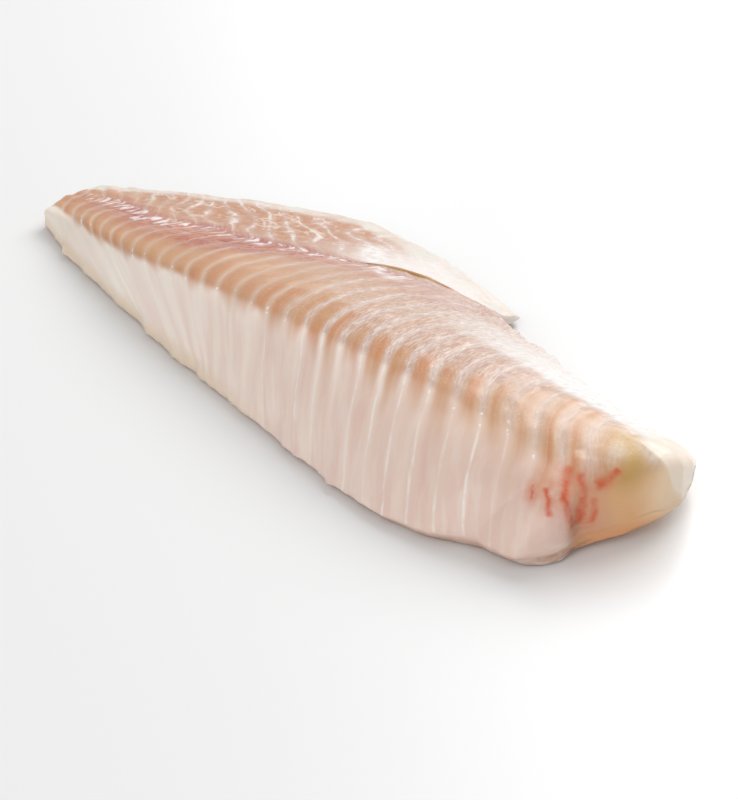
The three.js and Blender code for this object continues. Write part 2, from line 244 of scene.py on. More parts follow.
def fillet_surface():
    """The bare form on a grid of rings and lanes, with each point's distance over the skin from the crest."""
    x, tail, nose, share = ring_rows()
    c = sizes_at(x / LENGTH + 0.5)
    lane = {
        "back": np.linspace(0, 1, LANES["back"]),
        "loin": np.linspace(0, 1, LANES["loin"] + 1)[1:],
        "slit": np.linspace(0, 1, LANES["slit"] + 2)[1:-1],
        "flap": np.linspace(0, 1, LANES["flap"]),
        "under": np.linspace(0, 1, LANES["under"] + 2)[1:-1],
    }
    stretches = [stretch(c, lane[stretch.__name__][None, :]) for stretch in (back, loin, slit, flap, under)]
    stretches[1:4] = [(s[0], bridged(c, *s)) for s in stretches[1:4]]
    y = np.concatenate([s[0] + 0 * x for s in stretches], axis=1)
    z = np.concatenate([s[1] + 0 * x for s in stretches], axis=1)
    step = np.hypot(np.diff(y, axis=1), np.diff(z, axis=1))
    reach = np.concatenate([0 * x, np.cumsum(step, axis=1)], axis=1)
    reach = reach - reach[:, LANES["back"] - 1:LANES["back"]]
    # The tail's rim turns in by a few millimetres, then its face closes.
    inset = TAIL_ROUNDING * (1 - np.cos(tail))
    middle_y = (y.min(axis=1, keepdims=True) + y.max(axis=1, keepdims=True)) / 2
    half_y = (y.max(axis=1, keepdims=True) - y.min(axis=1, keepdims=True)) / 2
    half_z = z.max(axis=1, keepdims=True) / 2
    tail_share = np.where(tail > 0, share, 1.0)
    y = middle_y + (y - middle_y) * (1 - inset / half_y) * tail_share
    z = half_z + (z - half_z) * (1 - inset / half_z) * tail_share
    # The nose comes down in a round, then its narrow face closes.
    nose_share = np.where(nose > 0, share, 1.0)
    base = along(NOSE_HEIGHT, y)
    fall = NOSE_THIN + (1 - NOSE_THIN) * np.maximum(np.cos(nose), 0) ** along(NOSE_FALL, y)
    middle_z = along(NOSE_HEIGHT, NOSE_MIDDLE)
    height = np.where(nose > 0, base + (z - base) * fall, z)
    narrow = 1 - NOSE_NARROWING * (1 - np.cos(nose))
    y = np.where(nose > 0, NOSE_MIDDLE + (y - NOSE_MIDDLE) * narrow * nose_share, y)
    z = middle_z + (height - middle_z) * nose_share
    z = np.where(nose > 0, z, height)
    x = x - TAIL_ROUNDING * np.sin(tail) + NOSE_ROUNDING * np.sin(nose) + 0 * y
    return np.stack([x + end_shift(x, y), y, z], axis=-1), reach


def outward(points):
    """Unit normals: the step along the lanes crossed with the step round the ring."""
    normal = np.cross(np.gradient(points, axis=0), np.roll(points, -1, axis=1) - np.roll(points, 1, axis=1))
    return normal / np.maximum(np.linalg.norm(normal, axis=-1, keepdims=True), 1e-9)


# The flakes. Their edges cross the crest about every centimetre, run straight across the top, turn down at
# the ridge and lean to the head down the flank, and lean to the tail out over the belly side. Reach is the
# distance from the crest over the skin side, less than 0 on the back, and lean is how far along an edge
# runs for each millimetre of reach.
FLAKE_PITCH, FLAKE_AT = 10.3, 1.0
BEND_REACH = [[-172, -1], [-148, -2], [-121, -7], [-100, -10], [-80, -11], [-41, -10], [-8, -11],
              [20, -12.5], [47, -14], [75, -12.5], [100, -11], [140, -8], [160, -5]]
BEND_LENGTH, BEND_ROUND = 18.0, 7.0
BEND_LEAN = [[-172, 1.9], [-110, 1.8], [-75, 1.5], [-40, 1.1], [-10, 0.95], [40, 0.85], [80, 0.8],
             [110, 1.0], [140, 1.1], [160, 1.0]]
FLANK_LEAN = [[-172, 2.3], [-110, 2.0], [-85, 1.6], [-60, 1.1], [-38, 0.75], [-12, 0.58], [60, 0.5],
              [105, 0.4], [145, 0.22], [172, 0.1]]
BELLY_LEAN = [[-170, 0.9], [-120, 1.1], [-30, 1.1], [38, 0.4]]
SIDE_LINE = [[-165, 12], [-144, 19.5], [-112, 18], [-103, 21], [-88, 27], [-69, 31], [-55, 34.5],
             [-40, 41.5], [-15, 48], [0, 50], [40, 58]]
HALVINGS = 40


def past(distance):
    """0 before 0 and the distance d itself past it, rounded between: half of d plus the root of d^2 + r^2."""
    return (distance + np.sqrt(distance ** 2 + BEND_ROUND ** 2)) / 2


def flakes_along(x, reach):
    """How many flakes along a point lies: its edge's x at the crest is x less the lean, found by halves."""
    crest_x = x.copy()
    for _ in range(HALVINGS):
        below_bend = along(BEND_REACH, crest_x) - reach
        lean = (along(BEND_LEAN, crest_x) * (past(below_bend) - past(below_bend - BEND_LENGTH))
                + along(FLANK_LEAN, crest_x) * past(below_bend - BEND_LENGTH)
                - along(BELLY_LEAN, crest_x) * np.maximum(0, reach - along(SIDE_LINE, x)))
        crest_x = 0.5 * crest_x + 0.5 * (x - lean)
    return (crest_x - FLAKE_AT) / FLAKE_PITCH


def waves(points, size, seed, count=9):
    """A smooth random field: sines in random directions, about as long as size, between about -1 and 1."""
    rng = np.random.default_rng(seed)
    turn = rng.normal(size=(count, 3))
    turn /= np.linalg.norm(turn, axis=1, keepdims=True)
    turn *= (2 * np.pi / size) * rng.uniform(0.6, 1.5, (count, 1))
    phase = rng.uniform(0, 2 * np.pi, count)
    return np.sin(points @ turn.T + phase).sum(axis=-1) / np.sqrt(count)


points, reach = fillet_surface()

# The thin tip of the flap and the nose stand a little off the floor.
TIP_LIFT, TIP_THINNING, TIP_ALONG, TIP_ACROSS, TIP_END = 2.6, 0.32, (12, 38), (43, 55), 41
NOSE_ALONG = (150, 166)
NOSE_LIFT = [[-40, 0], [-18, 4.5], [0, 8.5], [12, 11], [40, 12]]
tip = smooth(*TIP_ALONG, points[..., 0]) * smooth(*TIP_ACROSS, points[..., 1]) * (points[..., 0] < TIP_END)
nose = smooth(*NOSE_ALONG, points[..., 0]) * along(NOSE_LIFT, points[..., 1])
points[..., 2] = points[..., 2] * (1 - TIP_THINNING * tip)
points[..., 2] = np.maximum(points[..., 2], TIP_LIFT * tip + nose)
flake = flakes_along(points[..., 0], reach)
BACK, SLIT, FLAP, UNDER = (list(LANES).index(name) for name in ("back", "slit", "flap", "under"))
lane_kind = np.concatenate([np.full(count, i) for i, count in enumerate(LANES.values())])[None, :]
skin_side = (lane_kind != UNDER) * 1.0
x_at, y_at, z_at = points[..., 0], points[..., 1], points[..., 2]

# Regions of the skin side, each a smooth mask from 0 to 1. The cut flank starts at the ridge, where the
# orange bands end in teeth of uneven length. Towards the head a haze of orange runs on below the teeth, and
# on the tail half the teeth are faint.
RIDGE_REACH = [[-172, -2], [-144, -5.5], [-118, -11], [-98, -13.5], [-81, -15], [-52, -14.5], [-27, -14.5],
               [-2, -15.5], [10, -16.5], [33, -18.5], [58, -20], [90, -21], [120, -23], [150, -25]]
TEETH_LENGTH = [[-160, 2.5], [-100, 3.5], [-60, 4], [-20, 6], [20, 10], [45, 13], [60, 16], [110, 16],
                [140, 12]]
TOOTH_HAZE, TAIL_TEETH = 0.22, 0.35
ridge = along(RIDGE_REACH, x_at)
teeth = along(TEETH_LENGTH, x_at) * (1 + 0.3 * np.sin(2.4 * flake) + 0.2 * np.sin(5.1 * flake + 1))
back_side = lane_kind == BACK
flank = smooth(-1.5, 2.5, ridge - reach) * back_side
below_ridge = (ridge - reach) / teeth
haze = TOOTH_HAZE * smooth(0, 70, x_at)
past_teeth = (1 - haze) * smooth(-0.15, 1.0, below_ridge) + haze * smooth(0.6, 2.4, below_ridge)
past_teeth = past_teeth * back_side
tail_teeth = TAIL_TEETH * smooth(-130, -70, x_at) * smooth(3, -3, reach - ridge)
toothed = np.maximum(smooth(-10, 45, x_at), tail_teeth) * skin_side

# The dark muscle lies between the orange and the side line; a silver sheen is painted where its tissue
# shines.
DARK_FROM = [[-165, -1], [-130, 0], [-105, -4], [-69, -6], [-49, 3], [-30, 18], [-5, 26], [20, 28],
             [40, 24], [60, 30]]
DARK_SHARE = [[-170, 0], [-145, 0.9], [-40, 1], [-10, 0.75], [20, 0.5], [45, 0.3], [65, 0]]
SILVER_SHEEN_SHARE = [[-168, 0], [-150, 1], [-5, 1], [20, 0.5], [40, 0]]
SILVER_SHEEN_MIDDLE, SILVER_SHEEN_HALF, SILVER_SHEEN_WANDER = 2.5, 6.5, 2.0
past_side_line = reach - along(SIDE_LINE, x_at)
dark_ends = smooth(-4, 14, reach - along(DARK_FROM, x_at)) * smooth(11, 0, past_side_line)
lateral = dark_ends * along(DARK_SHARE, x_at) * skin_side
off_silver_sheen = past_side_line + SILVER_SHEEN_MIDDLE + SILVER_SHEEN_WANDER * waves(points, 14, 14)
silver_sheen = smooth(5, 0, past_side_line) * np.exp(-(off_silver_sheen / SILVER_SHEEN_HALF) ** 2)
silver_sheen = silver_sheen * along(SILVER_SHEEN_SHARE, x_at) * skin_side
belly = smooth(2, 14, past_side_line) * (1 - smooth(36, 42, x_at)) * (lane_kind != BACK) * skin_side

# The belly flap: a rim of clear membrane along its edge, and a painted wet sheen towards its tip.
MEMBRANE_WIDTH = 17.0
body_share = np.clip(x_at / LENGTH + 0.5, 0, FLAP_END - 2 * FLAP_CUT)
membrane = smooth(MEMBRANE_WIDTH, 8, sizes_at(body_share)["belly_edge"] - y_at)
membrane = membrane * (lane_kind == FLAP) * (1 - smooth(38, 40, x_at))
flap_sheen = smooth(-52, -5, x_at) * (lane_kind == FLAP) * (1 - smooth(38, 42, x_at))

# The orange band lies on the ridge, and fades out over the loin.
ORANGE_INNER = [[-160, 20], [-60, 15], [-24, 18], [1, 16], [19, 8], [36, -1], [52, -7], [90, -8],
                [108, -6], [118, -1], [124, 5], [131, 7], [143, 8], [152, 4], [158, -4]]
ORANGE_FAINT = [[-160, 0.85], [-20, 0.7], [20, 0.5], [50, 0.3], [80, 0.15], [120, 0.1]]
ORANGE_FADE = [[-160, 30], [-20, 34], [20, 40], [60, 22], [120, 10]]
orange = smooth(-4, 6, along(ORANGE_INNER, x_at) - reach)
faint = along(ORANGE_FAINT, x_at) * smooth(-12, 14, along(ORANGE_FADE, x_at) - reach)
orange = np.maximum(orange, faint) * (1 - past_teeth) * (1 - smooth(154, 163, x_at)) * skin_side
# A painted sheen on the top towards the head, where the light falls on it; the orange fades under it.
HEAD_SHEEN_FROM = [[60, 15], [100, 9], [125, 6], [143, 5], [160, 1]]
head_sheen = smooth(35, 125, x_at) * smooth(-3, 6, reach - along(HEAD_SHEEN_FROM, x_at)) * skin_side
orange = orange * (1 - 0.8 * head_sheen * smooth(100, 130, x_at))

# The top of the loin's head half catches the light, and pales towards the nose; the light is painted on.
top_shine = smooth(-30, 30, x_at - 0.6 * (reach - 20)) * (1 - 0.6 * smooth(150, 162, x_at)) * skin_side
top_shine = top_shine * smooth(-4, 10, reach - ridge)

# The nose: tan where it faces the viewer, a darker olive spot at its top, a pale facet past a slanting
# fold, and an orange glow painted along its underside, where light shines through the flesh.
FACET_FOLD = [[10, -1.3], [15.3, -6.3], [20.9, -8.7], [28.5, -11]]
nose_tan = smooth(151, 163, x_at) * smooth(-47, -40, y_at) * smooth(30, 23, z_at)
past_fold = y_at - along(FACET_FOLD, z_at)
facet = smooth(-0.8, 0.8, past_fold) * smooth(156, 164, x_at)
# The nose's top: painted sheen.
nose_top_sheen = smooth(140, 165, x_at) * smooth(24, 30, z_at) * smooth(-26, -14, y_at)
glow = smooth(10, 4, z_at) * smooth(155, 161, x_at) * smooth(-43, -38, y_at) * smooth(2, -10, y_at)
nose_end = smooth(*NOSE_ALONG, x_at) * smooth(-44, -36, y_at)


def near_path(points, path, width):
    """1 on a bent line through the path's points, falling off as e^-(d/width)^2 beside it."""
    near = np.zeros(points.shape[:-1])
    for start, end in zip(np.array(path[:-1]), np.array(path[1:])):
        share = np.clip((points - start) @ (end - start) / ((end - start) @ (end - start)), 0, 1)
        away = np.linalg.norm(points - start - share[..., None] * (end - start), axis=-1)
        near = np.maximum(near, np.exp(-(away / width) ** 2))
    return near


OLIVE_SPOT = [(157, -13.5, 31), (163, -16.3, 29.8), (165.9, -18.5, 28.2), (166.5, -23, 25.5)]
OLIVE_WIDTH = 6.0
olive = near_path(points, OLIVE_SPOT, OLIVE_WIDTH)

# The crease where the last flake of the back ends against the nose.
CREASE = [(161.5, -38.8, 2.0), (162, -40.1, 10.5), (161.8, -40.9, 15.6), (161.3, -42.3, 21.7)]
CREASE_WIDTH, CREASE_DEPTH = 1.6, 1.2
crease = near_path(points, CREASE, CREASE_WIDTH) * smooth(24, 6, z_at)

# Relief: each flake swells between its edges, steps up along the painted silver sheen, and is slightly
# uneven.
# On the belly side the flakes' edges stand up as rims, bent like a long S.
SWELL, SWELL_POWER, SWELL_MEAN, STEP = 0.32, 0.6, 0.75, 0.5
BELLY_RIM, RIM_HALF, SCALLOP, SCALLOP_BEND = 0.45, 0.35, 36.0, 0.22
UNEVEN, WRINKLE, FINE_WRINKLE = 0.25, 0.07, 0.05
edge_off = np.abs(np.sin(np.pi * flake))
flake_show = np.where(back_side, 1 - 0.9 * flank, 1.0) * skin_side
flake_show = flake_show * (1 - 0.6 * membrane) * (1 - nose_end) * smooth(0.5, 4, z_at) * (1 - belly)
relief = SWELL * (edge_off ** SWELL_POWER - SWELL_MEAN) * flake_show * (1 + 0.5 * waves(points, 30, 5))
belly_flake = flake + 0.2 * waves(points, 24, 7)
scallop = past_side_line / SCALLOP + 0.12 * waves(points, 26, 8)
bent = belly_flake + SCALLOP_BEND * np.sin(2 * np.pi * scallop)
saw = bent % 1.0
step_show = np.maximum(silver_sheen, 0.5 * belly * (1 - membrane))
relief = relief + STEP * (saw - 0.5) * smooth(0, 0.12, 1 - saw) * step_show
belly_rim = np.exp(-(np.sin(np.pi * bent) / RIM_HALF) ** 2)
relief = relief + BELLY_RIM * belly_rim * belly * (1 - membrane) * (1 - 0.7 * flap_sheen)
above_floor = skin_side * smooth(0, 6, z_at)
relief = relief + UNEVEN * waves(points, 26, 1) * above_floor
relief = relief + WRINKLE * waves(points, 6, 2) * above_floor * (0.3 + 0.7 * top_shine + lateral + belly)
relief = relief + FINE_WRINKLE * waves(points, 3.2, 3) * above_floor * (0.8 * top_shine + lateral + belly)

# Where the knife went, along the back's rim, the far side of the head end and the tail, small crags stand
# out, and the nose's pale facet ends in a low fold.
RIM_WAVE, RIM_CRAG, FAR_CRAG, TAIL_CRAG, FOLD_HEIGHT, FOLD_WIDTH = 0.6, 0.5, 0.75, 0.4, 0.3, 1.2
rim_here = smooth(8, 3, z_at) * smooth(0, 1.5, z_at) * back_side
crags = RIM_WAVE * waves(points, 13, 9) + RIM_CRAG * np.maximum(0, waves(points, 5.5, 10))
relief = relief + crags * rim_here
far_side = smooth(38, 54, reach) * smooth(36, 60, x_at) * smooth(2, 6, z_at) * skin_side
relief = relief + FAR_CRAG * np.maximum(0, waves(points, 7, 11)) * far_side
tail_rim = smooth(-150, -166, x_at) * smooth(3, 8, z_at) * skin_side
relief = relief + TAIL_CRAG * waves(points, 8, 12) * tail_rim
relief = relief - CREASE_DEPTH * crease * skin_side
fold = np.exp(-(past_fold / FOLD_WIDTH) ** 2) * smooth(158, 165, x_at)
relief = relief + FOLD_HEIGHT * fold * skin_side
surface = points + relief[..., None] * outward(points)
surface[..., 2] = np.maximum(surface[..., 2], 0)


def grid_mesh(name, points):
    """Quads between neighbouring rings and lanes, with a fan of triangles over each end. Faces point out."""
    rings, lanes = points.shape[:2]
    here = (np.arange(rings - 1)[:, None] * lanes + np.arange(lanes)[None, :]).ravel()
    beside = (np.arange(rings - 1)[:, None] * lanes + (np.arange(lanes)[None, :] + 1) % lanes).ravel()
    quads = np.stack([here, here + lanes, beside + lanes, beside], axis=1)
    tail, head = rings * lanes, rings * lanes + 1
    lane = np.arange(lanes)
    turned = (lane + 1) % lanes
    last = (rings - 1) * lanes
    fans = np.concatenate([
        np.stack([np.full(lanes, tail), lane, turned], axis=1),
        np.stack([np.full(lanes, head), last + turned, last + lane], axis=1),
    ])
    vertices = np.concatenate([points.reshape(-1, 3), points[:1].mean(axis=1), points[-1:].mean(axis=1)])
    corners = np.concatenate([quads.ravel(), fans.ravel()])
    counts = np.concatenate([np.full(len(quads), 4), np.full(len(fans), 3)])
    mesh = bpy.data.meshes.new(name)
    mesh.vertices.add(len(vertices))
    mesh.vertices.foreach_set("co", vertices.astype(np.float32).ravel())
    mesh.loops.add(len(corners))
    mesh.loops.foreach_set("vertex_index", corners.astype(np.int32))
    mesh.polygons.add(len(counts))
    mesh.polygons.foreach_set("loop_start", (np.cumsum(counts) - counts).astype(np.int32))
    mesh.polygons.foreach_set("use_smooth", np.ones(len(counts), bool))
    mesh.update(calc_edges=True)
    mesh.validate()
    return mesh


def store(mesh, name, grid):
    """Keeps one value a vertex on the mesh, with the two end points taking their rings' means."""
    grid = np.broadcast_to(grid, x_at.shape)
    values = np.concatenate([grid.ravel(), [grid[0].mean(), grid[-1].mean()]]).astype(np.float32)
    mesh.attributes.new(name, "FLOAT", "POINT").data.foreach_set("value", values)


fillet_mesh = grid_mesh("cod_fillet", surface * TO_FRAME)

# The slit's walls and edges painted brown for the shade in it, and the painted wet glints along the ridge.
SLIT_PAINT, SLIT_EDGE_SHARE, GLINTS_BELOW, GLINTS_HALF = 1.1, 0.75, 2.0, 4.5
section = sizes_at(x_at / LENGTH + 0.5)
beside_slit = np.exp(-(np.maximum(0, np.abs(y_at - section["seam"]) - section["lip"]) / SLIT_PAINT) ** 2)
slit_shade = section["open"] * np.where(lane_kind == SLIT, 1.0, SLIT_EDGE_SHARE * beside_slit) * skin_side
ridge_glints = np.exp(-((reach - ridge + GLINTS_BELOW) / GLINTS_HALF) ** 2) * smooth(-165, -140, x_at)
ridge_glints = ridge_glints * (1 - nose_end) * skin_side

# Blood left in the flesh beside the nose, in short streaks: start and end in millimetres, and half width.
# It reddens the flesh round it, and a wider stain lies under it.
BLOOD = [
    [(154.1, -46.8, 24), (156.5, -48.7, 22.2), 1.4], [(156.5, -48.7, 22.2), (158.6, -50.7, 19.5), 1.6],
    [(149.2, -48.1, 23.7), (151.3, -51, 21.4), 0.9],
    [(153.3, -37.3, 27.9), (157.2, -41.8, 25.2), 1.7], [(157.2, -41.8, 25.2), (160.4, -45, 22.5), 2.1],
    [(160.4, -45, 22.5), (161.8, -45.2, 17.5), 2.0], [(161.8, -45.2, 17.5), (161.4, -42.6, 12.7), 1.6],
    [(158.5, -35.8, 26.7), (161.4, -38.8, 18.3), 2.3], [(161.4, -38.8, 18.3), (161.6, -39.1, 13.2), 2.5],
    [(163.2, -34.5, 18.1), (163.1, -34.9, 11.3), 1.9],
    [(164.7, -25.6, 26.8), (163.1, -33, 23.5), 1.8],
]
STAIN = [(152, -45, 25), (158, -43.5, 22), (161.5, -40.5, 17)]
HALO_WIDTH, STAIN_WIDTH = 3.0, 7.0
stain = near_path(points, STAIN, STAIN_WIDTH) * skin_side
halo = np.max([near_path(points, streak[:2], HALO_WIDTH) for streak in BLOOD], axis=0) * skin_side

# Painted highlights: wet sheets of tissue that catch the light on both sides of the slit's start.
FLAP_HIGHLIGHT, FLAP_HIGHLIGHT_WIDTH = [(-30, 46, 14), (-22, 38, 15), (-12, 33, 17)], 6.0
LOIN_HIGHLIGHT, LOIN_HIGHLIGHT_WIDTH, LOIN_HIGHLIGHT_SHARE = [(3, 17, 25), (12, 17, 25)], 4.0, 0.65
loin_highlight = LOIN_HIGHLIGHT_SHARE * near_path(points, LOIN_HIGHLIGHT, LOIN_HIGHLIGHT_WIDTH)
slit_highlight = np.maximum(near_path(points, FLAP_HIGHLIGHT, FLAP_HIGHLIGHT_WIDTH), loin_highlight) * skin_side

for name, grid in {
    "flake": flake, "reach": reach, "flank": flank, "lateral": lateral, "belly": belly, "membrane": membrane,
    "flap_sheen": flap_sheen, "orange": orange, "shine": top_shine, "nose": nose_tan, "olive": olive,
    "facet": facet, "glow": glow, "head_sheen": np.maximum(head_sheen, nose_top_sheen), "toothed": toothed,
    "belly_flake": belly_flake, "scallop": scallop, "slit": slit_shade, "edge_height": z_at,
    "ridge_glints": ridge_glints, "stain": stain, "silver_sheen": silver_sheen, "slit_highlight": slit_highlight, "halo": halo,
}.items():
    store(fillet_mesh, name, grid)

cod_fillet = bpy.data.objects.new("cod_fillet", fillet_mesh)
bpy.context.scene.collection.objects.link(cod_fillet)

# ---------------------------------------------------------------------------------------------------------
# The flesh.
# Raw muscle, wet and slightly translucent: pale flakes between thin white sheets of tissue, with the
# orange-brown fat and dark muscle that lay under the skin still on it in bands.
# ---------------------------------------------------------------------------------------------------------
# The cut flank and its foot.
CREAM, CREAM_PALE, FLANK_LINE = (0.91, 0.81, 0.71), (0.97, 0.88, 0.79), (0.92, 0.83, 0.76)
PINK, HEAD_PINK, ROSE = (0.87, 0.71, 0.62), (0.75, 0.54, 0.44), (0.79, 0.57, 0.50)
SKIRT_TAN = (0.80, 0.64, 0.48)
# The top of the loin, its sheets of tissue, and the painted sheen and highlights on it.
TOP_PALE, TOP_ROSE, HEAD_SHEEN = (0.62, 0.44, 0.36), (0.52, 0.31, 0.24), (0.95, 0.93, 0.91)
TISSUE, TISSUE_AND_SHEEN_WHITE, HIGHLIGHT_WHITE = (0.84, 0.74, 0.66), (0.87, 0.78, 0.72), (0.95, 0.92, 0.90)
# The orange bands and the lines between them.
BAND, BAND_DEEP, BAND_PALE = (0.60, 0.33, 0.17), (0.60, 0.25, 0.105), (0.61, 0.37, 0.24)
HEAD_BAND, BAND_LINE = (0.70, 0.48, 0.33), (0.70, 0.50, 0.37)
# Belly side, its painted sheen and membrane, the slit's painted shade, dark muscle and its painted silver
# sheen.
BELLY_ROSE, BELLY_BAND, FLAP_SHEEN_WHITE = (0.57, 0.34, 0.25), (0.54, 0.24, 0.105), (0.89, 0.82, 0.78)
MEMBRANE, MEMBRANE_ROSE, SLIT_SHADE_BROWN = (0.79, 0.76, 0.69), (0.81, 0.70, 0.62), (0.62, 0.36, 0.10)
DARK_MUSCLE, DARK_DEEP, SILVER_SHEEN = (0.50, 0.17, 0.10), (0.42, 0.115, 0.08), (0.90, 0.84, 0.85)
# The nose with its painted glow, and the blood beside it.
NOSE_TAN, NOSE_ROSE, NOSE_PALE = (0.74, 0.43, 0.21), (0.66, 0.36, 0.23), (0.82, 0.62, 0.42)
NOSE_OLIVE, FACET_PALE, GLOW = (0.58, 0.36, 0.12), (0.93, 0.81, 0.69), (0.74, 0.36, 0.17)
STAIN_ORANGE, BLOOD_RED = (0.70, 0.34, 0.19), (0.64, 0.12, 0.045)


def add(tree, kind, inputs=None, **settings):
    """Adds a node, sets its own settings, then sets or links each input by its name or number."""
    node = tree.nodes.new(kind)
    for key, value in settings.items():
        setattr(node, key, value)
    for key, value in (inputs or {}).items():
        if isinstance(value, bpy.types.NodeSocket):
            tree.links.new(value, node.inputs[key])
        else:
            node.inputs[key].default_value = value
    return node


def maths(tree, operation, a, b=0.0, clamp=False):
    """One step of arithmetic on one or two values."""
    return add(tree, "ShaderNodeMath", {0: a, 1: b}, operation=operation, use_clamp=clamp).outputs[0]


def vectors(tree, operation, a, b):
    """One step of arithmetic on two vectors."""
    return add(tree, "ShaderNodeVectorMath", {0: a, 1: b}, operation=operation).outputs


def scaled(tree, vector, scale):
    """A vector times a scale."""
    return add(tree, "ShaderNodeVectorMath", {0: vector, "Scale": scale}, operation="SCALE").outputs[0]


def spread(tree, value, low, high, to_low=0.0, to_high=1.0):
    """A smooth step from to_low at low to to_high at high."""
    inputs = {"Value": value, "From Min": low, "From Max": high, "To Min": to_low, "To Max": to_high}
    return add(tree, "ShaderNodeMapRange", inputs, interpolation_type="SMOOTHSTEP").outputs[0]


def streak_group():
    """A mask that is 1 on the line from Start to End and falls smoothly to 0 at 1.15 times Width from it."""
    group = bpy.data.node_groups.new("streak", "ShaderNodeTree")
    for name, kind in {"Point": "Vector", "Start": "Vector", "End": "Vector", "Width": "Float"}.items():
        group.interface.new_socket(name, in_out="INPUT", socket_type="NodeSocket" + kind)
    group.interface.new_socket("Mask", in_out="OUTPUT", socket_type="NodeSocketFloat")
    given = group.nodes.new("NodeGroupInput").outputs
    from_start = vectors(group, "SUBTRACT", given["Point"], given["Start"])[0]
    whole = vectors(group, "SUBTRACT", given["End"], given["Start"])[0]
    share = maths(group, "DIVIDE", vectors(group, "DOT_PRODUCT", from_start, whole)["Value"],
                  vectors(group, "DOT_PRODUCT", whole, whole)["Value"], clamp=True)
    away = vectors(group, "DISTANCE", from_start, scaled(group, whole, share))["Value"]
    mask = spread(group, maths(group, "DIVIDE", away, given["Width"]), 1.15, 0.0)
    group.links.new(mask, group.nodes.new("NodeGroupOutput").inputs["Mask"])
    return group


